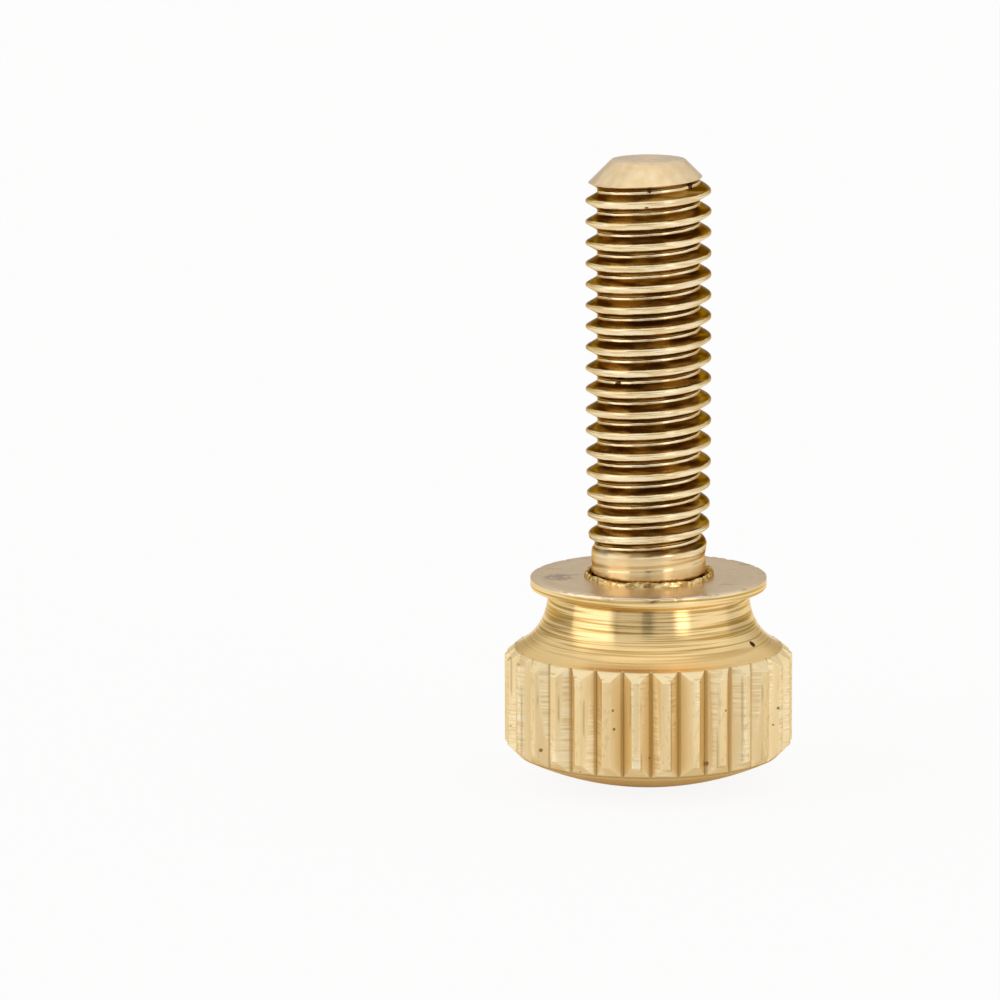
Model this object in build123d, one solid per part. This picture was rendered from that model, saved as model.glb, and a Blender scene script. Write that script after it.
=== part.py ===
from build123d import *
from math import asin, cos, degrees, radians, sin, sqrt, tan
import os

# Knurled thumb screw, M6 x 20, turned in one piece from brass bar. It stands on
# its domed head with the thread up: the origin is the pole of the dome and +Z
# runs along the axis to the tip of the thread. Millimetres and degrees.

# --- driving dimensions ---
head_height = 10.0       # pole of the dome to the clamping face
head_dia = 13.74         # over the teeth of the knurl
thread_length = 20.0     # clamping face to the tip

# straight knurl: V grooves along the axis, with a narrow flat left on each tooth
tooth_count = 30
first_groove = 7.0       # angle of one groove, anticlockwise from +X
groove_angle = 90.0      # included angle of a groove
tooth_flat = 0.34

# domed end, and the chamfer that joins it to the teeth
dome_radius = 14.23
dome_margin = 0.02       # the dome ends this far inside the groove bottoms
dome_chamfer = 45.0      # slope of the chamfer across the tooth ends

# shoulder end of the teeth
neck_length = 3.83       # clamping face down to the full height of the teeth
shoulder_margin = 0.09   # the shoulder ends this far outside the groove bottoms
tooth_chamfer = 40.0     # slope of the chamfer across the tooth ends
shoulder_slope = 26.5    # fall of the shoulder outwards

# neck, and the thin collar that clamps
neck_depth = 2.11        # from the top of a tooth in to the neck's narrowest place
neck_taper = 10.5        # half angle by which the neck widens towards the shoulder
neck_fillet = 2.75       # between neck and shoulder, as far as they leave room
collar_lip = 0.88        # how far the collar stands out past the neck
collar_rim = 0.54        # height of the rim
undercut_slope = 19.0    # rise of the collar's underside outwards
rim_edge = 0.06          # broken edge at the clamping face
rim_round = 0.12         # larger broken edge under the rim

# M6 shank, plain here at the mean major diameter of an M6 x 1 - 6g thread
shank_dia = 5.90
runout_depth = 0.225     # the run-out above the clamping face, in from the shank's surface
runout_length = 1.2
burr_proud = 0.10        # ring of metal that threading raised at the shank's foot
burr_height = 0.20
burr_slope = 60.0        # rise of the ring's outer side
tip_dia = 3.54           # flat end
tip_slope = 45.0         # chamfer at the end

# --- worked out: teeth ---
head_radius = head_dia / 2
tooth_pitch = 360.0 / tooth_count
flat_half_angle = degrees(asin(tooth_flat / head_dia))
mouth_half_angle = tooth_pitch / 2 - flat_half_angle
mouth_half_width = head_radius * sin(radians(mouth_half_angle))
mouth_radius = head_radius * cos(radians(mouth_half_angle))
flank_run = tan(radians(groove_angle / 2))
root_radius = mouth_radius - mouth_half_width / flank_run

# --- worked out: dome, from its pole to the teeth ---
dome_edge_radius = root_radius - dome_margin
dome_rise = dome_radius - sqrt(dome_radius**2 - dome_edge_radius**2)
teeth_start = dome_rise + (head_radius - dome_edge_radius) * tan(radians(dome_chamfer))

# --- worked out: shoulder, from the teeth to the neck ---
teeth_end = head_height - neck_length
shoulder_radius = root_radius + shoulder_margin
shoulder_height = teeth_end + (head_radius - shoulder_radius) * tan(radians(tooth_chamfer))
shoulder_fall = tan(radians(shoulder_slope))
groove_exit = shoulder_height + shoulder_margin * (1 + shoulder_fall)

# --- worked out: collar and neck ---
neck_radius = head_radius - neck_depth
collar_radius = neck_radius + collar_lip
rim_low = head_height - collar_rim
undercut_edge = collar_radius - rim_round
neck_top = rim_low - (undercut_edge - neck_radius) * tan(radians(undercut_slope))

# the neck's cone and the shoulder's cone meet here, under the fillet
neck_spread = tan(radians(neck_taper))
corner_drop = neck_top - shoulder_height - (shoulder_radius - neck_radius) * shoulder_fall
corner_depth = corner_drop / (1 - shoulder_fall * neck_spread)
corner_radius = neck_radius + corner_depth * neck_spread
corner_height = neck_top - corner_depth

# the fillet's tangent points stay on the neck's cone and on the shoulder's cone
corner_turn = 90 - neck_taper - shoulder_slope
neck_side = corner_depth / cos(radians(neck_taper))
shoulder_side = (shoulder_radius - corner_radius) / cos(radians(shoulder_slope))
largest_fillet = 0.98 * min(neck_side, shoulder_side) / tan(radians(corner_turn / 2))
flare_radius = min(neck_fillet, largest_fillet)

# --- worked out: shank ---
shank_radius = shank_dia / 2
runout_radius = shank_radius - runout_depth
burr_radius = shank_radius + burr_proud
burr_crest_radius = burr_radius - burr_height / tan(radians(burr_slope))
burr_top = head_height + burr_height
tip_radius = tip_dia / 2
tip_height = head_height + thread_length
runout_top = head_height + runout_length
full_shank = runout_top + shank_radius - runout_radius
tip_chamfer_foot = tip_height - (shank_radius - tip_radius) * tan(radians(tip_slope))


def at(radius, height):
    """A point of the turned outline, in the XZ plane."""
    return (radius, 0, height)


def turned_blank():
    """The whole screw as it leaves the lathe, before the grooves of the knurl."""
    half_dome = asin(dome_edge_radius / dome_radius) / 2
    dome_middle = at(dome_radius * sin(half_dome), dome_radius * (1 - cos(half_dome)))
    dome_edge = at(dome_edge_radius, dome_rise)
    dome = ThreePointArc(at(0, 0), dome_middle, dome_edge)

    shoulder_edge = at(shoulder_radius, shoulder_height)
    teeth = Polyline(
        dome_edge,
        at(head_radius, teeth_start),
        at(head_radius, teeth_end),
        shoulder_edge,
    )

    neck_end = at(neck_radius, neck_top)
    flare = FilletPolyline(
        shoulder_edge, at(corner_radius, corner_height), neck_end, radius=flare_radius
    )

    collar_and_shank = Polyline(
        neck_end,
        at(undercut_edge, rim_low),
        at(collar_radius, rim_low + rim_round),
        at(collar_radius, head_height - rim_edge),
        at(collar_radius - rim_edge, head_height),
        at(burr_radius, head_height),
        at(burr_crest_radius, burr_top),
        at(runout_radius, burr_top),
        at(runout_radius, runout_top),
        at(shank_radius, full_shank),
        at(shank_radius, tip_chamfer_foot),
        at(tip_radius, tip_height),
        at(0, tip_height),
        at(0, 0),
    )
    outline = make_face(dome + teeth + flare + collar_and_shank)
    return revolve(outline, Axis.Z)


def knurl_groove():
    """A prism that cuts one V groove along a tooth's side, from dome to shoulder."""
    reach = mouth_half_width
    section = Polyline(
        (root_radius, 0),
        (mouth_radius + reach, mouth_half_width + reach * flank_run),
        (mouth_radius + reach, -mouth_half_width - reach * flank_run),
        close=True,
    )
    return extrude(make_face(section), groove_exit)


thumb_screw = turned_blank()
thumb_screw -= PolarLocations(0, tooth_count, start_angle=first_groove) * knurl_groove()

os.makedirs("parts", exist_ok=True)
export_step(thumb_screw, "parts/thumb_screw.step")
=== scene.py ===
from math import asin, atan2, cos, degrees, hypot, pi, radians, sin, sqrt, tan

import bmesh
import bpy
from mathutils import Matrix, Vector, noise


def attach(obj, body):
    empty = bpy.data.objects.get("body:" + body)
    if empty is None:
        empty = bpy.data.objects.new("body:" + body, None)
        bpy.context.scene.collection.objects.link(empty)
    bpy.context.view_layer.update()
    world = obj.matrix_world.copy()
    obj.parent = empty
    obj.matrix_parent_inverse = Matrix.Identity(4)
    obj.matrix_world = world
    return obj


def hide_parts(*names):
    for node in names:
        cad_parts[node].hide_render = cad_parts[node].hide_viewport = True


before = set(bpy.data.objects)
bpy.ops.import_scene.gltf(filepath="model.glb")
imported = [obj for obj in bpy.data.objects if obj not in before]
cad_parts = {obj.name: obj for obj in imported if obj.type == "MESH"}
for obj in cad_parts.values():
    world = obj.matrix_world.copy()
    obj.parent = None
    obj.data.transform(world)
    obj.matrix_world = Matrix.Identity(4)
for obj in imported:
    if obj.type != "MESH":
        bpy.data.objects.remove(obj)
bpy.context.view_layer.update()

# A knurled brass thumb screw, M6 x 20, standing on its domed head. Its shapes are
# worked out in millimetres and degrees and brought to metres once, in make_screw.
MM = 0.001

# --- head, as the lathe leaves it ---
HEAD_HEIGHT = 10.0
HEAD_RADIUS = 6.87
DOME_RADIUS = 14.23
DOME_MARGIN = 0.02          # from the edge of the dome out to the groove bottoms
DOME_CHAMFER = 45.0
NECK_LENGTH = 3.83
SHOULDER_MARGIN = 0.09      # from the groove bottoms out to the edge of the shoulder
TOOTH_CHAMFER = 40.0
SHOULDER_SLOPE = 26.5
NECK_RADIUS = 4.76
NECK_TAPER = 10.5
NECK_FILLET = 2.75
COLLAR_RADIUS = 5.64
RIM_LOW = 9.46              # height of the collar's underside at its edge
UNDERCUT_SLOPE = 19.0
RIM_EDGE = 0.08             # rounding of the collar's upper edge
RIM_ROUND = 0.12            # rounding of its lower edge

# --- knurl ---
TOOTH_COUNT = 30
FIRST_GROOVE = 7.0
TOOTH_FLAT = 0.34           # width left at the crest of a tooth
# angles across half a tooth, from the bottom of a groove to the middle of the flat
HALF_TOOTH = (0.0, 0.3, 0.8, 2.5, 4.1, 4.4, 4.65, 4.95, 6.0)

# --- thread ---
TIP_HEIGHT = 30.0
TIP_RADIUS = 1.77
PITCH = 1.0
CREST_PHASE = 0.55          # height of the crest over +X, less whole pitches
SHARP_CREST = 3.108         # where the flanks would meet outside the crest
THREAD_ROOT = 2.43
LAND_AT_HEAD = 2.72         # radius of the shank between the grooves, at the head
# how that radius changes on the way to the tip: from one height, to another, by how much
LAND_GROWTH = ((11.0, 12.6, 0.19), (12.6, 16.5, 0.07), (28.3, 29.3, -0.13))
CREST_FLAT = 0.045          # from the middle of a crest to its worn edge
CREST_BREAK = 0.84          # slope of the worn edge on the tip side of a crest
LIFT_AT_HEAD = 0.27         # how far the tool had backed out by the last turn
RUNOUT_LOW = 10.9           # the tool backs out between these heights
RUNOUT_HIGH = 12.3

# --- burr at the foot of the shank ---
BURR_WALL = 2.93            # radius of the gap's outer side
BURR_REACH = 3.0            # the clamping face starts outside this

# --- camera ---
LENS = 262.8
SENSOR = 36.0
LOOK_DOWN = 10.6            # degrees
LOOK_ASIDE = 1.165
AIM_HEIGHT = 13.65
DISTANCE = 347.5

# --- table ---
TABLE_REACH = 3000.0
TABLE_SEEN = 0.9            # share of plain white in what the lens sees of it
TABLE_GLOW = 0.8            # share of plain white in what the metal mirrors of it
GLOW_FADE = 12.0            # the glow grows from the axis out to here

CLOSE = 1e-5                # two sizes nearer than this are the same
WELD = 1e-4                 # points nearer than this become one

# places with a finish of their own, in the order of the material slots
DOME, TEETH, TURNED, COLLAR_FACE, THREAD, TIP = range(6)


def arc(centre, radius, start, end, steps):
    """Points (r, z) on an arc, from one angle to another, both ends included."""
    angles = [radians(start + (end - start) * i / steps) for i in range(steps + 1)]
    return [(centre[0] + radius * cos(a), centre[1] + radius * sin(a)) for a in angles]


def line(start, end, steps):
    """Points (r, z) after start, up to and including end."""
    return [
        (
            start[0] + (end[0] - start[0]) * i / steps,
            start[1] + (end[1] - start[1]) * i / steps,
        )
        for i in range(1, steps + 1)
    ]


def ease(value, low, high):
    """0 below low, 1 above high, and smooth between them."""
    t = min(max((value - low) / (high - low), 0.0), 1.0)
    return t * t * (3 - 2 * t)


def lesser(a, b, blend):
    """The smaller of two radii, with the corner between them rounded."""
    h = max(blend - abs(a - b), 0.0) / blend
    return min(a, b) - h * h * blend / 4


def greater(a, b, blend):
    return -lesser(-a, -b, blend)


# --- knurl section ---
tooth_pitch = 360.0 / TOOTH_COUNT
mouth_half_angle = tooth_pitch / 2 - degrees(asin(TOOTH_FLAT / 2 / HEAD_RADIUS))
root_radius = HEAD_RADIUS * (cos(radians(mouth_half_angle)) - sin(radians(mouth_half_angle)))
tooth_angles = list(HALF_TOOTH) + [tooth_pitch - a for a in reversed(HALF_TOOTH[:-1])]
tooth_steps = len(tooth_angles) - 1

# --- places on the outline ---
dome_edge_radius = root_radius - DOME_MARGIN
dome_edge_angle = degrees(asin(dome_edge_radius / DOME_RADIUS))
dome_rise = DOME_RADIUS - sqrt(DOME_RADIUS**2 - dome_edge_radius**2)
shoulder_radius = root_radius + SHOULDER_MARGIN
teeth_end = HEAD_HEIGHT - NECK_LENGTH


def dome_chamfer_height(radius):
    return dome_rise + (radius - dome_edge_radius) * tan(radians(DOME_CHAMFER))


def tooth_chamfer_height(radius):
    return teeth_end + (HEAD_RADIUS - radius) * tan(radians(TOOTH_CHAMFER))


shoulder_height = tooth_chamfer_height(shoulder_radius)


def flare():
    """Shoulder, fillet and neck, from the teeth up to the collar's underside."""
    undercut_edge = COLLAR_RADIUS - RIM_ROUND
    neck_top = RIM_LOW - (undercut_edge - NECK_RADIUS) * tan(radians(UNDERCUT_SLOPE))
    spread = tan(radians(NECK_TAPER))
    fall = tan(radians(SHOULDER_SLOPE))
    drop = neck_top - shoulder_height - (shoulder_radius - NECK_RADIUS) * fall
    depth = drop / (1 - fall * spread)
    corner = Vector((NECK_RADIUS + depth * spread, neck_top - depth))
    outward = Vector((cos(radians(SHOULDER_SLOPE)), -sin(radians(SHOULDER_SLOPE))))
    tangent = NECK_FILLET * tan(radians(90 - NECK_TAPER - SHOULDER_SLOPE) / 2)
    centre = corner + outward * tangent + Vector((-outward.y, outward.x)) * NECK_FILLET
    bend = arc(centre, NECK_FILLET, 270 - SHOULDER_SLOPE, 180 + NECK_TAPER, 18)
    shoulder = line((shoulder_radius, shoulder_height), bend[0], 1)
    return shoulder + bend[1:] + line(bend[-1], (NECK_RADIUS, neck_top), 4)


def head_outline():
    """The head's outline (r, z) from the pole of the dome to the middle of its top."""
    points = [
        (r, DOME_RADIUS + z)
        for r, z in arc((0, 0), DOME_RADIUS, -90, dome_edge_angle - 90, 14)
    ]
    radii = [dome_edge_radius + (HEAD_RADIUS - dome_edge_radius) * i / 8 for i in range(1, 9)]
    points += [(r, dome_chamfer_height(r)) for r in radii]
    points += line(points[-1], (HEAD_RADIUS, teeth_end), 3)
    radii = [HEAD_RADIUS + (shoulder_radius - HEAD_RADIUS) * i / 6 for i in range(1, 7)]
    points += [(r, tooth_chamfer_height(r)) for r in radii]
    points += flare()
    points += line(points[-1], (COLLAR_RADIUS - RIM_ROUND, RIM_LOW), 3)
    middle = (COLLAR_RADIUS - RIM_ROUND, RIM_LOW + RIM_ROUND)
    points += arc(middle, RIM_ROUND, -90, 0, 4)[1:]
    points += line(points[-1], (COLLAR_RADIUS, HEAD_HEIGHT - RIM_EDGE), 3)
    middle = (COLLAR_RADIUS - RIM_EDGE, HEAD_HEIGHT - RIM_EDGE)
    points += arc(middle, RIM_EDGE, 0, 90, 3)[1:]
    points += line(points[-1], (0.0, HEAD_HEIGHT), 10)
    return points


def spun(points, steps):
    """A closed turned solid: the outline spun all the way round the axis."""
    bm = bmesh.new()
    verts = [bm.verts.new((r, 0, z)) for r, z in points]
    edges = [bm.edges.new(pair) for pair in zip(verts, verts[1:])]
    bmesh.ops.spin(
        bm,
        geom=verts + edges,
        cent=(0, 0, 0),
        axis=(0, 0, 1),
        angle=2 * pi,
        steps=steps,
        use_merge=True,
    )
    return bm


def clean(bm):
    """Closes seams and poles, and points every face outwards."""
    bmesh.ops.remove_doubles(bm, verts=bm.verts, dist=WELD)
    bmesh.ops.dissolve_degenerate(bm, edges=bm.edges, dist=WELD)
    bmesh.ops.recalc_face_normals(bm, faces=bm.faces)


def groove_radius(angle):
    """Radius of a groove's flank at an angle from the groove's middle."""
    softened = radians(hypot(angle, 0.22))
    return root_radius / (cos(softened) - sin(softened))


def tooth_edge(tooth, across):
    """Radius of the knurl at an angle across one tooth, with the tooth's own wear."""
    wear = noise.noise(Vector((tooth * 3.1 % 97, 0.5, 0.5))) * 0.02
    flank = groove_radius(min(across, tooth_pitch - across))
    return lesser(flank, HEAD_RADIUS - abs(wear), 0.03)


def pulled_in(radius, height, edge):
    """Where a point of the plain head comes to lie once the knurl is cut."""
    low = dome_chamfer_height(HEAD_RADIUS)
    pulled = min(radius, edge)
    if height <= low + CLOSE:
        return pulled, dome_chamfer_height(pulled)
    if height >= teeth_end - CLOSE:
        on_shoulder = radius <= shoulder_radius + CLOSE and edge >= shoulder_radius
        return pulled, height if on_shoulder else tooth_chamfer_height(pulled)
    share = (height - low) / (teeth_end - low)
    bottom = dome_chamfer_height(pulled)
    top = tooth_chamfer_height(pulled)
    return pulled, bottom + (top - bottom) * share


def cut_knurl(bm):
    """Spaces the spun columns over the teeth and pulls them in to the grooves."""
    for v in bm.verts:
        radius = hypot(v.co.x, v.co.y)
        height = v.co.z
        if radius < CLOSE:
            continue
        column = degrees(atan2(v.co.y, v.co.x)) / tooth_pitch * tooth_steps
        tooth, step = divmod(round(column), tooth_steps)
        across = tooth_angles[step]
        angle = radians(FIRST_GROOVE + tooth * tooth_pitch + across)
        if radius > root_radius - 0.01 and height < shoulder_height + 0.01:
            radius, height = pulled_in(radius, height, tooth_edge(tooth, across))
        v.co = Vector((radius * cos(angle), radius * sin(angle), height))


def land_radius(height):
    """Radius of the shank between the thread's grooves."""
    radius = LAND_AT_HEAD
    for low, high, growth in LAND_GROWTH:
        radius += growth * ease(height, low, high)
    return radius


def thread_radius(angle, height):
    """Radius of the threaded shank where the helix has reached this angle and height."""
    turns = (height - CREST_PHASE) / PITCH - angle / (2 * pi)
    off_crest = (turns - round(turns)) * PITCH
    lift = LIFT_AT_HEAD * (1 - ease(height, RUNOUT_LOW, RUNOUT_HIGH))
    flank = SHARP_CREST - abs(off_crest) / tan(radians(30))
    groove = greater(flank, THREAD_ROOT, 0.10) + lift
    worn = CREST_BREAK * max(off_crest - CREST_FLAT, 0.0) * (1 - lift / LIFT_AT_HEAD)
    return lesser(groove, land_radius(height) - worn, 0.05)


def thread_body():
    """The threaded shank: one turn's profile swept up the helix and cut square."""
    across = (0.035, 0.065, 0.1, 0.14, 0.2, 0.28, 0.34, 0.385, 0.42, 0.46)
    shares = sorted([-s for s in across] + [0.0] + list(across) + [0.5])
    steps_a_turn = 96
    low, high = HEAD_HEIGHT - 0.4, TIP_HEIGHT + 0.6
    start = CREST_PHASE + round(low) - 3.0
    bm = bmesh.new()
    verts = [
        bm.verts.new((LAND_AT_HEAD, 0, start + (turn + s) * PITCH))
        for turn in range(int(high - low) + 5)
        for s in shares
    ]
    edges = [bm.edges.new(pair) for pair in zip(verts, verts[1:])]
    bmesh.ops.spin(
        bm,
        geom=verts + edges,
        cent=(0, 0, 0),
        axis=(0, 0, 1),
        dvec=(0, 0, PITCH / steps_a_turn),
        angle=2 * pi,
        steps=steps_a_turn,
    )
    bmesh.ops.remove_doubles(bm, verts=bm.verts, dist=WELD)
    for v in bm.verts:
        angle = atan2(v.co.y, v.co.x)
        radius = thread_radius(angle, v.co.z)
        v.co.x = radius * cos(angle)
        v.co.y = radius * sin(angle)
    for height, side in ((low, -1), (high, 1)):
        cut = bmesh.ops.bisect_plane(
            bm,
            geom=bm.verts[:] + bm.edges[:] + bm.faces[:],
            dist=CLOSE,
            plane_co=(0, 0, height),
            plane_no=(0, 0, side),
            clear_outer=True,
        )
        rim = [e for e in cut["geom_cut"] if isinstance(e, bmesh.types.BMEdge)]
        bmesh.ops.contextual_create(bm, geom=rim)
    clean(bm)
    return bm


def tip_blank():
    """The turned end of the bar that the thread is cut in: flat tip and chamfer."""
    wide = 4.0
    tip = [
        (0.0, TIP_HEIGHT - 0.035),
        (0.16, TIP_HEIGHT - 0.025),
        (0.26, TIP_HEIGHT),
        (TIP_RADIUS - 0.03, TIP_HEIGHT),
        (TIP_RADIUS + 0.02, TIP_HEIGHT - 0.03),
        (wide, TIP_HEIGHT - (wide - TIP_RADIUS)),
        (wide, HEAD_HEIGHT - 1.0),
        (0.0, HEAD_HEIGHT - 1.0),
    ]
    bm = spun(tip, 192)
    clean(bm)
    return bm


def burr_ring():
    """The ragged lip of metal that threading pushed up round the shank's foot."""
    outline = (
        # radius, height above the clamping face
        (2.64, -0.07),
        (3.12, -0.07),
        (3.09, 0.06),
        (3.07, 0.18),
        (2.99, 0.22),
        (2.90, 0.14),
        (2.86, 0.05),
        (2.64, 0.03),
    )
    section = [(radius, HEAD_HEIGHT + up) for radius, up in outline]
    bm = spun(section + section[:1], 180)
    clean(bm)
    for v in bm.verts:
        share = ease(v.co.z, HEAD_HEIGHT + 0.04, HEAD_HEIGHT + 0.2)
        around = Vector((v.co.x, v.co.y, 0)).normalized()
        rise = 0.14 * noise.noise(around * 4.0) + 0.06 * noise.noise(around * 17.0)
        out = 0.11 * noise.noise(around * 2.5 + Vector((3, 1, 7)))
        out += 0.02 * noise.noise(around * 19.0 + Vector((9, 4, 2)))
        v.co.z += share * (rise + 0.02)
        v.co += around * out * ease(v.co.z, HEAD_HEIGHT - 0.01, HEAD_HEIGHT + 0.1)
    return bm


def nick_rim(bm):
    """Small dents along the sharp upper edge of the collar."""
    deepest, drawn_in = 0.10, 0.4
    for v in bm.verts:
        radius = hypot(v.co.x, v.co.y)
        if radius > COLLAR_RADIUS - 0.2 and v.co.z > HEAD_HEIGHT - 0.1:
            lumps = noise.noise(Vector((v.co.x, v.co.y, 3.0)) * 2.6)
            dent = max(0.0, lumps - 0.15) * deepest
            v.co.z -= dent
            v.co.x *= 1 - dent * drawn_in / radius
            v.co.y *= 1 - dent * drawn_in / radius


def combine(target, tool_mesh, operation):
    """Applies one Boolean to target and takes the tool away."""
    tool = bpy.data.objects.new("tool", tool_mesh)
    bpy.context.scene.collection.objects.link(tool)
    cut = target.modifiers.new("cut", "BOOLEAN")
    cut.operation = operation
    cut.solver = "MANIFOLD"
    cut.object = tool
    depsgraph = bpy.context.evaluated_depsgraph_get()
    result = bpy.data.meshes.new_from_object(target.evaluated_get(depsgraph))
    target.modifiers.clear()
    target.data = result
    bpy.data.objects.remove(tool)


def to_mesh(bm, name):
    for face in bm.faces:
        face.smooth = True
    mesh = bpy.data.meshes.new(name)
    bm.to_mesh(mesh)
    bm.free()
    return mesh


def mark_zones(bm):
    """Gives each face the finish of its place on the screw."""
    for face in bm.faces:
        c = face.calc_center_median()
        radius = hypot(c.x, c.y)
        if radius < root_radius and c.z < dome_rise + 0.01:
            zone = DOME
        elif c.z < shoulder_height - 0.002 and radius > root_radius - 0.1:
            zone = TEETH
        elif c.z < HEAD_HEIGHT - 0.1:
            zone = TURNED
        elif c.z < HEAD_HEIGHT + 0.002 and radius > BURR_REACH:
            zone = COLLAR_FACE
        elif radius + c.z > TIP_HEIGHT + TIP_RADIUS - 0.04 or c.z > TIP_HEIGHT - 0.05:
            zone = TIP
        else:
            zone = THREAD
        face.material_index = zone


def make_screw(materials):
    """The whole screw as one closed mesh."""
    head = spun(head_outline(), TOOTH_COUNT * tooth_steps)
    cut_knurl(head)
    clean(head)
    nick_rim(head)
    thread = bpy.data.objects.new("thumb_screw_turned", to_mesh(thread_body(), "thread"))
    bpy.context.scene.collection.objects.link(thread)
    combine(thread, to_mesh(tip_blank(), "tip"), "INTERSECT")
    combine(thread, to_mesh(head, "head"), "UNION")
    combine(thread, to_mesh(burr_ring(), "burr"), "UNION")
    bm = bmesh.new()
    bm.from_mesh(thread.data)
    bmesh.ops.remove_doubles(bm, verts=bm.verts, dist=5 * WELD)
    mark_zones(bm)
    for edge in bm.edges:
        if len(edge.link_faces) == 2:
            edge.smooth = edge.calc_face_angle(0.0) < radians(32)
    for face in bm.faces:
        face.smooth = True
    bmesh.ops.scale(bm, vec=(MM, MM, MM), verts=bm.verts)
    mesh = thread.data
    mesh.materials.clear()
    for material in materials:
        mesh.materials.append(material)
    bm.to_mesh(mesh)
    bm.free()
    return thread


# --- studio, brightness by direction: degrees right of the front, degrees up ---
BACKDROP = 0.55
PANELS = (
    # brightness, azimuths, soft edge, elevations, soft edge
    (0.80, None, 0, (20, 120), 16),
    (0.58, (-40, 40), 4, (-90, 28), 12),
    (0.95, (46, 100), 12, (-90, 45), 20),
    (0.15, (-7, 6), 5, (-90, 28), 12),
    (1.50, (-93, -42.5), 3, (-90, 50), 16),
    (0.30, (-38, -34.5), 2, (-90, 30), 12),
    (2.40, (31.5, 46), 3, (-90, 22), 10),
    (0.88, None, 0, (48, 120), 20),
    (1.12, (-100, 100), 30, (62, 120), 16),
)

# --- finishes ---

# small faults in the metal: degrees round from +X, millimetres out and up, then how wide
SHOULDER_PIT = ((-27.5, 5.54, 7.16), 0.19)
RUBBED_SPOT = ((-173.0, 4.23, 10.0), 0.85)
TOOTH_PITS = (
    ((-140.0, 6.64, 2.4), 0.09),
    ((-25.0, 6.79, 4.15), 0.07),
    ((-104.5, 6.70, 4.8), 0.06),
    ((-104.0, 6.66, 3.9), 0.07),
    ((-64.5, 6.34, 2.1), 0.11),
)
THREAD_NICKS = (
    ((-89.0, 2.44, 28.9), 0.16),
    ((-36.0, 2.43, 28.95), 0.18),
    ((-92.0, 2.74, 28.1), 0.10),
    ((-10.0, 2.71, 24.75), 0.12),
    ((-126.0, 2.50, 19.55), 0.20),
)


class Graph:
    """Adds nodes to one node tree and wires them together."""

    def __init__(self, tree):
        self.tree = tree
        self.nodes = tree.nodes

    def add(self, kind, inputs=None, **settings):
        node = self.nodes.new("ShaderNode" + kind)
        for name, value in settings.items():
            setattr(node, name, value)
        for name, value in (inputs or {}).items():
            self.feed(node.inputs[name], value)
        return node

    def feed(self, socket, value):
        if isinstance(value, bpy.types.NodeSocket):
            self.tree.links.new(value, socket)
        else:
            socket.default_value = value

    def math(self, operation, *values):
        return self.add("Math", dict(enumerate(values)), operation=operation).outputs[0]

    def vector(self, operation, *values):
        return self.add("VectorMath", dict(enumerate(values)), operation=operation).outputs[0]

    def step(self, value, low, high):
        """0 at low, 1 at high, smooth between; either end may be the larger."""
        inputs = {"Value": value, "From Min": low, "From Max": high}
        return self.add("MapRange", inputs, interpolation_type="SMOOTHSTEP").outputs[0]

    def between(self, value, low, high, soft):
        """1 between two values, with edges this wide."""
        rise = self.step(value, low - soft / 2, low + soft / 2)
        fall = self.step(value, high + soft / 2, high - soft / 2)
        return self.math("MULTIPLY", rise, fall)

    def blend(self, share, first, second):
        """Mixes two colours; a share of 1 is all of the second."""
        mix = self.add("Mix", {0: share, 6: first, 7: second}, data_type="RGBA")
        return mix.outputs[2]

    def noise(self, place, scale, detail=2.0, roughness=0.5):
        inputs = {"Vector": place, "Scale": scale, "Detail": detail, "Roughness": roughness}
        return self.add("TexNoise", inputs).outputs[0]

    def use(self, group, inputs=None):
        node = self.add("Group", node_tree=group)
        for name, value in (inputs or {}).items():
            self.feed(node.inputs[name], value)
        return node.outputs


def node_group(name, inputs, outputs):
    """An empty node group. Gives its graph, what comes in, and the node that goes out."""
    tree = bpy.data.node_groups.new(name, "ShaderNodeTree")
    kinds = {"v": "NodeSocketVector", "f": "NodeSocketFloat", "c": "NodeSocketColor"}
    for label, kind in inputs:
        tree.interface.new_socket(name=label, in_out="INPUT", socket_type=kinds[kind])
    for label, kind in outputs:
        tree.interface.new_socket(name=label, in_out="OUTPUT", socket_type=kinds[kind])
    graph = Graph(tree)
    given = tree.nodes.new("NodeGroupInput").outputs
    return tree, graph, given, tree.nodes.new("NodeGroupOutput")


def place_group():
    """Where a point is, in millimetres, and which way it lies from the axis."""
    outs = [("Millimetres", "v"), ("Radius", "f"), ("Height", "f"), ("Outward", "v")]
    tree, g, _, out = node_group("place_on_screw", [], outs)
    place = g.add("TexCoord").outputs["Object"]
    scaled = g.add("VectorMath", {0: place, "Scale": 1000.0}, operation="SCALE").outputs[0]
    split = g.add("SeparateXYZ", {0: scaled}).outputs
    flat = g.add("CombineXYZ", {0: split[0], 1: split[1]}).outputs[0]
    radius = g.add("VectorMath", {0: flat}, operation="LENGTH").outputs["Value"]
    g.feed(out.inputs["Millimetres"], scaled)
    g.feed(out.inputs["Radius"], radius)
    g.feed(out.inputs["Height"], split[2])
    g.feed(out.inputs["Outward"], g.vector("NORMALIZE", flat))
    return tree


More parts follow.
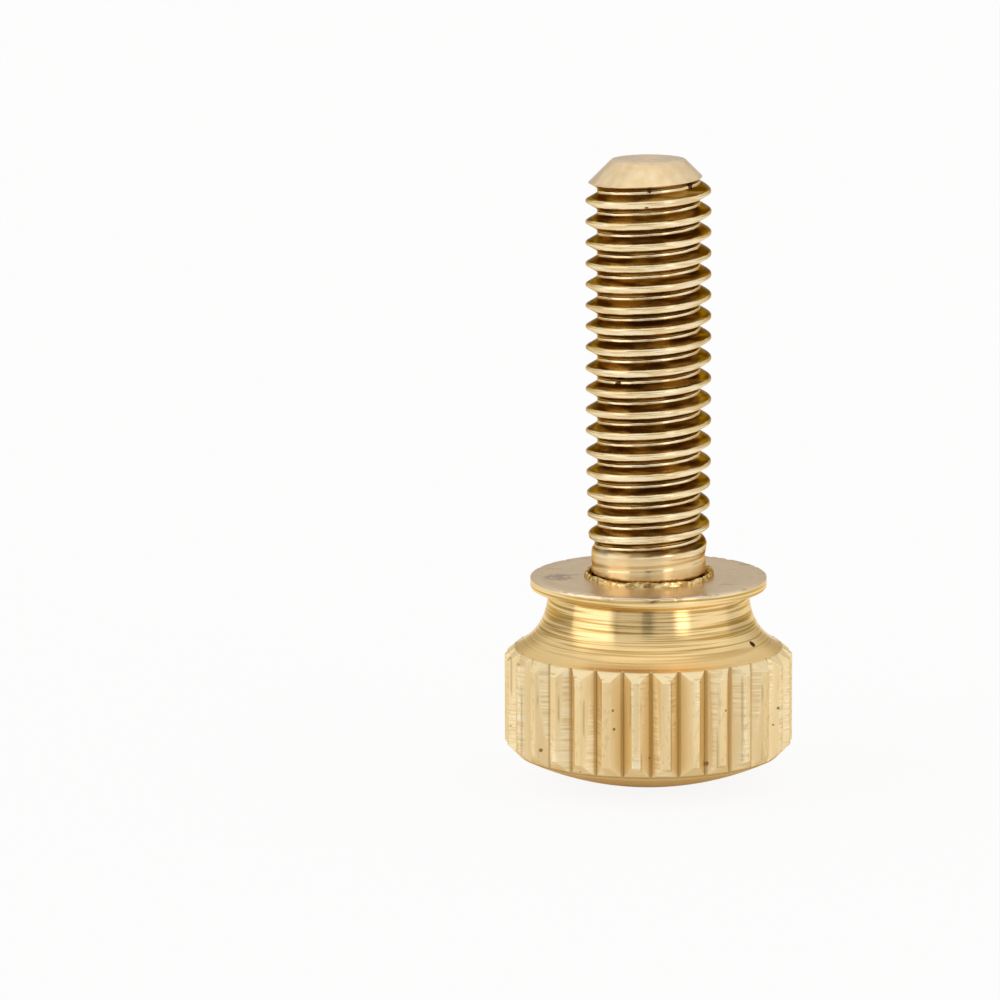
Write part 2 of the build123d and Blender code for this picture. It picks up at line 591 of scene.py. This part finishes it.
def rings_group(place):
    """Uneven tool marks that run round the axis, between 0 and 1."""
    ins = [("Rings per mm", "f"), ("Radius share", "f"), ("Change round", "f"), ("Tilt", "f")]
    tree, g, given, out = node_group("tool_rings", ins, [("Value", "f")])
    at = g.use(place)
    share = g.math("MULTIPLY", at["Radius"], given["Radius share"])
    along = g.math("MULTIPLY", g.math("ADD", at["Height"], share), given["Rings per mm"])
    way = g.add("SeparateXYZ", {0: at["Outward"]}).outputs
    lean = g.math("MULTIPLY", way[0], given["Tilt"])
    circle = {0: at["Outward"], "Scale": given["Change round"]}
    around = g.add("VectorMath", circle, operation="SCALE").outputs[0]
    up = g.add("CombineXYZ", {2: g.math("ADD", along, lean)}).outputs[0]
    g.feed(out.inputs[0], g.noise(g.vector("ADD", around, up), 1.0, 1.0, 0.5))
    return tree


def pits_group(place):
    """Scattered small pits: 1 in a pit, 0 elsewhere."""
    ins = [("Cell", "f"), ("Size", "f"), ("Share", "f")]
    tree, g, given, out = node_group("pits", ins, [("Mask", "f")])
    at = g.use(place)
    scale = g.math("DIVIDE", 1.0, given["Cell"])
    cells = g.add("TexVoronoi", {"Vector": at["Millimetres"], "Scale": scale})
    reach = g.math("MULTIPLY", given["Size"], scale)
    ratio = g.math("DIVIDE", cells.outputs["Distance"], reach)
    pit = g.step(ratio, 1.0, 0.55)
    lot = g.add("SeparateColor", {0: cells.outputs["Color"]}).outputs[0]
    chosen = g.math("LESS_THAN", lot, given["Share"])
    g.feed(out.inputs[0], g.math("MULTIPLY", pit, chosen))
    return tree


def nick_group(place):
    """One nick at a given point: 1 inside it, with a ragged edge."""
    tree, g, given, out = node_group("nick", [("Point", "v"), ("Size", "f")], [("Mask", "f")])
    at = g.use(place)
    away = g.add("VectorMath", {0: at["Millimetres"], 1: given["Point"]}, operation="DISTANCE")
    rough = g.math("MULTIPLY", g.noise(at["Millimetres"], 5.0), 0.8)
    ratio = g.math("DIVIDE", away.outputs["Value"], given["Size"])
    g.feed(out.inputs[0], g.step(g.math("ADD", ratio, rough), 1.5, 1.1))
    return tree


class Finish:
    """One metal finish: a material with its shader and the shared groups to hand."""

    def __init__(self, name, groups, **shader_values):
        self.material = bpy.data.materials.new(name)
        self.material.use_nodes = True
        self.graph = Graph(self.material.node_tree)
        self.shader = self.graph.nodes["Principled BSDF"]
        self.groups = groups
        self.shader.inputs["Metallic"].default_value = 1.0
        for label, value in shader_values.items():
            self.shader.inputs[label.replace("_", " ")].default_value = value
        self.at = self.graph.use(groups["place"])

    def rings(self, per_mm, radius_share, change_round, tilt=0.0):
        values = {
            "Rings per mm": per_mm,
            "Radius share": radius_share,
            "Change round": change_round,
            "Tilt": tilt,
        }
        return self.graph.use(self.groups["rings"], values)[0]

    def pits(self, cell, size, share):
        values = {"Cell": cell, "Size": size, "Share": share}
        return self.graph.use(self.groups["pits"], values)[0]

    def nick(self, place, size):
        angle, radius, height = place
        point = (radius * cos(radians(angle)), radius * sin(radians(angle)), height)
        return self.graph.use(self.groups["nick"], {"Point": point, "Size": size})[0]

    def with_nicks(self, mask, nicks):
        """Adds nicks at their own places to a mask."""
        for place, size in nicks:
            mask = self.graph.math("MAXIMUM", mask, self.nick(place, size))
        return mask

    def along_the_ring(self):
        """Turned metal: the tool marks spread its highlights along the axis."""
        g = self.graph
        tangent = g.add("Tangent", direction_type="RADIAL", axis="Z").outputs[0]
        g.feed(self.shader.inputs["Tangent"], tangent)

    def relief(self, *layers):
        """Bumps from (height, depth in micrometres) pairs, one on top of another."""
        g = self.graph
        normal = None
        for height, depth in layers:
            bump = g.add("Bump", {"Height": height, "Distance": depth * 1e-6, "Strength": 1.0})
            if normal is not None:
                g.feed(bump.inputs["Normal"], normal)
            normal = bump.outputs[0]
        g.feed(self.shader.inputs["Normal"], normal)

    def colour(self, value):
        self.graph.feed(self.shader.inputs["Base Color"], value)

    def roughness(self, value):
        self.graph.feed(self.shader.inputs["Roughness"], value)


def dome_finish(groups):
    """Turned dome, handled: faint rings, small dents and hair scratches."""
    f = Finish("dome_satin_brass", groups, Specular_Tint=(0.80, 0.62, 0.36, 1))
    g = f.graph
    cloud = g.noise(f.at["Millimetres"], 0.6, 3.0)
    rings = f.rings(5.0, 1.0, 1.5)
    dents = f.pits(1.7, 0.13, 0.4)
    colour = g.blend(cloud, (0.90, 0.68, 0.36, 1), (0.95, 0.75, 0.44, 1))
    f.colour(g.blend(dents, colour, (0.52, 0.34, 0.14, 1)))
    f.roughness(g.math("ADD", 0.24, g.math("MULTIPLY", cloud, 0.14)))
    scratches = g.noise(g.vector("MULTIPLY", f.at["Millimetres"], (6.0, 0.8, 0.8)), 1.0, 2.0)
    f.relief((rings, 3.0), (scratches, 3.0), (g.math("SUBTRACT", 1.0, dents), 16.0))
    return f.material


def tooth_end_highlight(f):
    """1 on the chamfers where the teeth meet the shoulder, 0 elsewhere: where a highlight is
    painted.
    """
    g = f.graph
    slope = tan(radians(TOOTH_CHAMFER))
    over = g.math("ADD", f.at["Height"], g.math("MULTIPLY", f.at["Radius"], slope))
    reach = teeth_end + HEAD_RADIUS * slope
    return g.step(over, reach - 0.04, reach - 0.01)


def teeth_finish(groups):
    """Cut teeth: satin flanks with chatter across them, pits, and bitten crests, with painted
    shade in the groove bottoms and a painted highlight on the tooth ends.
    """
    f = Finish("cut_teeth_brass", groups, Specular_Tint=(0.92, 0.78, 0.52, 1))
    g = f.graph
    place, radius = f.at["Millimetres"], f.at["Radius"]
    patch = g.noise(g.vector("MULTIPLY", place, (1.0, 1.0, 0.10)), 1.2, 1.0)
    grain = g.noise(place, 14.0, 3.0, 0.7)
    chatter = f.rings(10.0, 0.0, 4.0, 2.5)
    where = g.step(patch, 0.47, 0.56)
    lines = g.math("MULTIPLY", g.step(chatter, 0.53, 0.64), where)
    gaps = g.math("MULTIPLY", g.step(chatter, 0.47, 0.38), where)
    valley_shade = g.step(radius, root_radius + 0.13, root_radius + 0.05)
    crest = g.step(radius, HEAD_RADIUS - 0.11, HEAD_RADIUS - 0.04)
    beside = g.step(radius, HEAD_RADIUS - 0.17, HEAD_RADIUS - 0.12)
    uneven = g.noise(g.vector("MULTIPLY", place, (0.9, 0.9, 0.25)), 1.3, 2.0)
    edge = g.math("MULTIPLY", beside, g.math("SUBTRACT", 1.0, crest))
    edge = g.math("MULTIPLY", edge, g.step(uneven, 0.48, 0.58))
    stretched = g.vector("MULTIPLY", place, (1.0, 1.0, 0.45))
    bitten = g.math("MULTIPLY", crest, g.step(g.noise(stretched, 6.0, 3.0), 0.54, 0.66))
    pits = f.with_nicks(f.pits(1.1, 0.07, 0.5), TOOTH_PITS)
    colour = g.blend(g.step(patch, 0.35, 0.65), (0.86, 0.66, 0.35, 1), (0.97, 0.79, 0.48, 1))
    colour = g.blend(g.math("MULTIPLY", lines, 0.7), colour, (1.0, 0.90, 0.66, 1))
    # painted highlight on the tooth ends, which face up towards the light
    colour = g.blend(tooth_end_highlight(f), colour, (1.0, 0.85, 0.54, 1))
    colour = g.blend(g.math("MULTIPLY", gaps, 0.35), colour, (0.62, 0.44, 0.20, 1))
    # painted shade in the groove bottoms
    colour = g.blend(g.math("MULTIPLY", valley_shade, 0.7), colour, (0.46, 0.29, 0.09, 1))
    colour = g.blend(g.math("MULTIPLY", edge, 0.5), colour, (0.45, 0.29, 0.11, 1))
    colour = g.blend(g.math("MULTIPLY", bitten, 0.35), colour, (0.62, 0.45, 0.24, 1))
    f.colour(g.blend(pits, colour, (0.34, 0.21, 0.08, 1)))
    f.roughness(g.math("ADD", 0.36, g.math("MULTIPLY", grain, 0.22)))
    f.relief(
        (g.math("MULTIPLY", chatter, where), 22.0),
        (grain, 7.0),
        (g.math("MULTIPLY", bitten, -1.0), 8.0),
        (g.math("SUBTRACT", 1.0, pits), 20.0),
    )
    return f.material


def turned_finish(groups):
    """Neck, shoulder and rim as they left the lathe, bright, with open tool rings whose dark
    lines are painted shade, and a painted highlight along the collar's upper edge.
    """
    f = Finish(
        "lathe_bright_brass",
        groups,
        Anisotropic=0.8,
        Anisotropic_Rotation=0.25,
        Specular_Tint=(0.95, 0.82, 0.58, 1),
    )
    g = f.graph
    wide = f.rings(2.2, -0.35, 0.5)
    fine = f.rings(8.5, -0.35, 0.9)
    open_rings = g.step(f.at["Height"], teeth_end + 0.33, teeth_end + 1.43)
    # the tool rings are real marks; their dark lines are painted shade in the colour
    shade = g.math("SUBTRACT", g.step(fine, 0.36, 0.58), 0.8)
    shade = g.math("ADD", 0.8, g.math("MULTIPLY", shade, open_rings))
    colour = g.blend(shade, (0.54, 0.33, 0.09, 1), (0.97, 0.73, 0.37, 1))
    # painted highlight along the collar's upper edge
    edge = g.step(f.at["Height"], HEAD_HEIGHT - 0.16, HEAD_HEIGHT - 0.10)
    colour = g.blend(g.math("MULTIPLY", edge, 0.7), colour, (0.98, 0.86, 0.62, 1))
    pit = f.nick(*SHOULDER_PIT)
    specks = f.pits(1.9, 0.05, 0.35)
    colour = g.blend(specks, colour, (0.45, 0.28, 0.10, 1))
    f.colour(g.blend(pit, colour, (0.03, 0.015, 0.005, 1)))
    f.roughness(g.math("ADD", 0.16, g.math("MULTIPLY", fine, 0.12)))
    f.along_the_ring()
    f.relief((wide, 9.0), (fine, 10.0), (g.math("SUBTRACT", 1.0, pit), 20.0))
    return f.material


def collar_face_finish(groups):
    """The face that clamps: flat turned, dulled and smudged by handling."""
    f = Finish(
        "clamping_face_brass",
        groups,
        Anisotropic=0.3,
        Anisotropic_Rotation=0.25,
        Specular_Tint=(0.92, 0.84, 0.74, 1),
    )
    g = f.graph
    rings = f.rings(5.0, 1.0, 1.2)
    smear = g.noise(g.vector("MULTIPLY", f.at["Millimetres"], (0.7, 1.6, 1.0)), 1.0, 4.0, 0.6)
    smudge = g.step(smear, 0.56, 0.70)
    colour = g.blend(rings, (0.74, 0.60, 0.42, 1), (0.90, 0.74, 0.54, 1))
    colour = g.blend(g.math("MULTIPLY", smudge, 0.6), colour, (0.46, 0.35, 0.25, 1))
    patchy = g.step(g.noise(f.at["Millimetres"], 1.8, 3.0), 0.38, 0.56)
    rub = g.math("MULTIPLY", f.nick(*RUBBED_SPOT), patchy)
    f.colour(g.blend(g.math("MULTIPLY", rub, 0.75), colour, (0.34, 0.26, 0.23, 1)))
    f.roughness(g.math("ADD", 0.22, g.math("MULTIPLY", smear, 0.22)))
    f.along_the_ring()
    f.relief((rings, 2.0), (g.noise(f.at["Millimetres"], 2.0, 2.0), 5.0))
    return f.material


def above_crest(f):
    """How far up from the nearest crest a point lies, wandering a little."""
    g = f.graph
    way = g.add("SeparateXYZ", {0: f.at["Outward"]}).outputs
    turn = g.math("DIVIDE", g.math("ARCTAN2", way[1], way[0]), 2 * pi)
    climb = g.math("SUBTRACT", g.math("SUBTRACT", f.at["Height"], CREST_PHASE), turn)
    wander = g.math("MULTIPLY", g.noise(f.at["Millimetres"], 1.6, 3.0), 0.08)
    wandering = g.math("ADD", climb, g.math("SUBTRACT", wander, 0.04))
    return g.math("WRAP", wandering, PITCH / 2, -PITCH / 2)


def groove_depth(f):
    """1 where the thread is cut deep, 0 where the shank is left plain."""
    g = f.graph
    height = f.at["Height"]
    land = LAND_AT_HEAD
    for low, high, growth in LAND_GROWTH:
        land = g.math("ADD", land, g.math("MULTIPLY", g.step(height, low, high), growth))
    lift = g.math("MULTIPLY", g.step(height, RUNOUT_HIGH, RUNOUT_LOW), LIFT_AT_HEAD)
    root = g.math("ADD", lift, THREAD_ROOT)
    return g.step(g.math("SUBTRACT", land, root), 0.05, 0.20)


def flank_shade_mask(f, off, cut):
    """1 on the flanks, where shade is painted into the colour; 0 on crest, root and the
    chamfered end.
    """
    g = f.graph
    upper = g.math("MULTIPLY", g.step(off, 0.08, 0.12), g.step(off, 0.40, 0.37))
    lower = g.step(off, -0.25, -0.29)
    flank = g.math("MULTIPLY", g.math("MAXIMUM", upper, lower), cut)
    out_and_up = g.math("ADD", f.at["Radius"], f.at["Height"])
    to_cone = g.math("SUBTRACT", TIP_HEIGHT + TIP_RADIUS, out_and_up)
    return g.math("MULTIPLY", flank, g.step(to_cone, 0.18, 0.30))


def with_burr(f, colour):
    """Lays the bright lumpy lip of the burr, and painted shade in the gap inside it, over a
    colour.
    """
    g = f.graph
    radius, height = f.at["Radius"], f.at["Height"]
    top = HEAD_HEIGHT + 0.35
    low = g.step(height, top + 0.10, top)
    burr = g.math("MULTIPLY", low, g.step(radius, BURR_WALL - 0.03, BURR_WALL + 0.03))
    lumps = g.step(g.noise(f.at["Millimetres"], 5.0, 2.0), 0.42, 0.60)
    lip = g.blend(lumps, (0.55, 0.36, 0.12, 1), (0.98, 0.80, 0.44, 1))
    colour = g.blend(burr, colour, lip)
    # painted shade: the gap between the lip and the shank is darkened in the colour
    deep = g.step(height, HEAD_HEIGHT + 0.30, HEAD_HEIGHT + 0.18)
    gap = g.math("MULTIPLY", deep, g.step(radius, BURR_WALL, BURR_WALL - 0.07))
    return g.blend(gap, colour, (0.16, 0.09, 0.03, 1))


def thread_finish(groups):
    """Cut thread: bright crests and roots, with painted shade on the flanks between them."""
    f = Finish(
        "cut_thread_brass",
        groups,
        Anisotropic=0.5,
        Anisotropic_Rotation=0.25,
        Specular_Tint=(0.66, 0.48, 0.27, 1),
    )
    g = f.graph
    off, cut = above_crest(f), groove_depth(f)
    tears = f.rings(6.0, 0.0, 2.0)
    streak = f.rings(5.0, 0.0, 1.6)
    plain = g.math("MULTIPLY", g.step(f.at["Height"], 11.5, RUNOUT_LOW), 0.8)
    crest = g.blend(g.step(tears, 0.35, 0.6), (0.80, 0.60, 0.32, 1), (0.98, 0.82, 0.54, 1))
    crest = g.blend(plain, crest, (0.86, 0.64, 0.34, 1))
    # painted shade: the flanks are darkened in the colour, standing in for the shade deep in
    # the grooves
    painted_flank_shade = g.blend(g.step(streak, 0.38, 0.64), (0.13, 0.06, 0.015, 1), (0.44, 0.26, 0.07, 1))
    colour = with_burr(f, g.blend(flank_shade_mask(f, off, cut), crest, painted_flank_shade))
    nicks = f.with_nicks(f.pits(1.6, 0.10, 0.12), THREAD_NICKS)
    f.colour(g.blend(nicks, colour, (0.10, 0.05, 0.02, 1)))
    f.roughness(g.math("ADD", 0.18, g.math("MULTIPLY", tears, 0.12)))
    f.along_the_ring()
    roll = g.math("MULTIPLY", g.step(off, -0.06, -0.28), g.step(off, -0.5, -0.46))
    roll = g.math("MULTIPLY", roll, cut)
    ragged = g.noise(f.at["Millimetres"], 2.5, 2.0)
    sound = g.math("SUBTRACT", 1.0, nicks)
    f.relief((roll, 300.0), (tears, 3.0), (ragged, 8.0), (sound, 20.0))
    return f.material


def tip_finish(groups):
    """Faced and chamfered end: pale, with faint rings and a few scratches."""
    f = Finish("tip_satin_brass", groups, Anisotropic=0.6, Anisotropic_Rotation=0.25)
    g = f.graph
    rings = f.rings(5.0, 1.0, 1.2)
    cloud = g.noise(g.vector("MULTIPLY", f.at["Millimetres"], (2.0, 2.0, 0.5)), 1.0, 3.0)
    f.colour(g.blend(g.step(cloud, 0.2, 0.8), (0.82, 0.61, 0.34, 1), (0.96, 0.78, 0.50, 1)))
    f.roughness(g.math("ADD", 0.22, g.math("MULTIPLY", rings, 0.14)))
    f.along_the_ring()
    f.relief((rings, 5.0), (cloud, 12.0))
    return f.material


def brass_finishes():
    """One material for each place, in the order of the material slots."""
    place = place_group()
    groups = {
        "place": place,
        "rings": rings_group(place),
        "pits": pits_group(place),
        "nick": nick_group(place),
    }
    makers = (
        dome_finish,
        teeth_finish,
        turned_finish,
        collar_face_finish,
        thread_finish,
        tip_finish,
    )
    return [make(groups) for make in makers]


def floor():
    """White table, seen as plain white, and glowing in the metal away from the screw."""
    bm = bmesh.new()
    bmesh.ops.create_grid(bm, x_segments=2, y_segments=2, size=TABLE_REACH * MM)
    mesh = to_mesh(bm, "floor")
    table = bpy.data.objects.new("floor", mesh)
    bpy.context.scene.collection.objects.link(table)
    material = bpy.data.materials.new("white_table")
    material.use_nodes = True
    g = Graph(material.node_tree)
    shader = g.nodes["Principled BSDF"]
    shader.inputs["Base Color"].default_value = (0.9, 0.9, 0.9, 1)
    shader.inputs["Roughness"].default_value = 0.9
    shader.inputs["Specular IOR Level"].default_value = 0.0
    glow = g.add("Emission", {"Color": (1, 1, 1, 1), "Strength": 1.0})
    path = g.add("LightPath").outputs
    place = g.add("TexCoord").outputs["Object"]
    away = g.add("VectorMath", {0: place}, operation="LENGTH").outputs["Value"]
    clear = g.math("MULTIPLY", g.step(away, 0.0, GLOW_FADE * MM), TABLE_GLOW)
    seen = g.math("MULTIPLY", path["Is Camera Ray"], TABLE_SEEN)
    share = g.math("ADD", seen, g.math("MULTIPLY", path["Is Glossy Ray"], clear))
    mix = g.add("MixShader", {0: share, 1: shader.outputs[0], 2: glow.outputs[0]})
    g.feed(g.nodes["Material Output"].inputs["Surface"], mix.outputs[0])
    mesh.materials.append(material)


def studio():
    """A white tent round the table: a wide lamp behind it on the left, a narrow one on
    the right, cloth overhead and a darker gap in front, where the lens looks in."""
    world = bpy.data.worlds.new("studio")
    bpy.context.scene.world = world
    world.use_nodes = True
    g = Graph(world.node_tree)
    way = g.add("TexCoord").outputs["Generated"]
    x, y, z = g.add("SeparateXYZ", {0: way}).outputs
    bearing = g.math("ARCTAN2", x, g.math("MULTIPLY", y, -1.0))
    right = g.math("MULTIPLY", bearing, 180 / pi)
    up = g.math("MULTIPLY", g.math("ARCSINE", z), 180 / pi)

    def lay(below, brightness, mask):
        """Hangs a panel of one brightness in front of what is there already."""
        change = g.math("SUBTRACT", brightness, below)
        return g.math("ADD", below, g.math("MULTIPLY", mask, change))

    level = BACKDROP
    for brightness, azimuths, azimuth_soft, elevations, elevation_soft in PANELS:
        mask = g.between(up, *elevations, elevation_soft)
        if azimuths:
            mask = g.math("MULTIPLY", g.between(right, *azimuths, azimuth_soft), mask)
        level = lay(level, brightness, mask)
    seen = g.add("LightPath").outputs["Is Camera Ray"]
    light = g.nodes["Background"].inputs
    g.feed(light["Strength"], lay(level, 1.0, seen))
    light["Color"].default_value = (1.0, 0.985, 0.96, 1.0)


def camera():
    """Long lens, a little above the screw, with the screw right of the middle."""
    data = bpy.data.cameras.new("camera")
    data.sensor_width = SENSOR
    data.lens = LENS
    data.clip_start = 0.01
    data.clip_end = 20.0
    thing = bpy.data.objects.new("camera", data)
    bpy.context.scene.collection.objects.link(thing)
    down = radians(LOOK_DOWN)
    back = Vector((0, -cos(down), sin(down))) * DISTANCE * MM
    tip_down = Matrix.Rotation(radians(90) - down, 4, "X")
    turn_aside = Matrix.Rotation(radians(LOOK_ASIDE), 4, "Y")
    place = Matrix.Translation(Vector((0, 0, AIM_HEIGHT * MM)) + back)
    thing.matrix_world = place @ tip_down @ turn_aside
    bpy.context.scene.camera = thing


bpy.context.scene.view_settings.view_transform = "Standard"

camera()
studio()
floor()

screw = make_screw(brass_finishes())
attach(screw, "root")
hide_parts("thumb_screw")
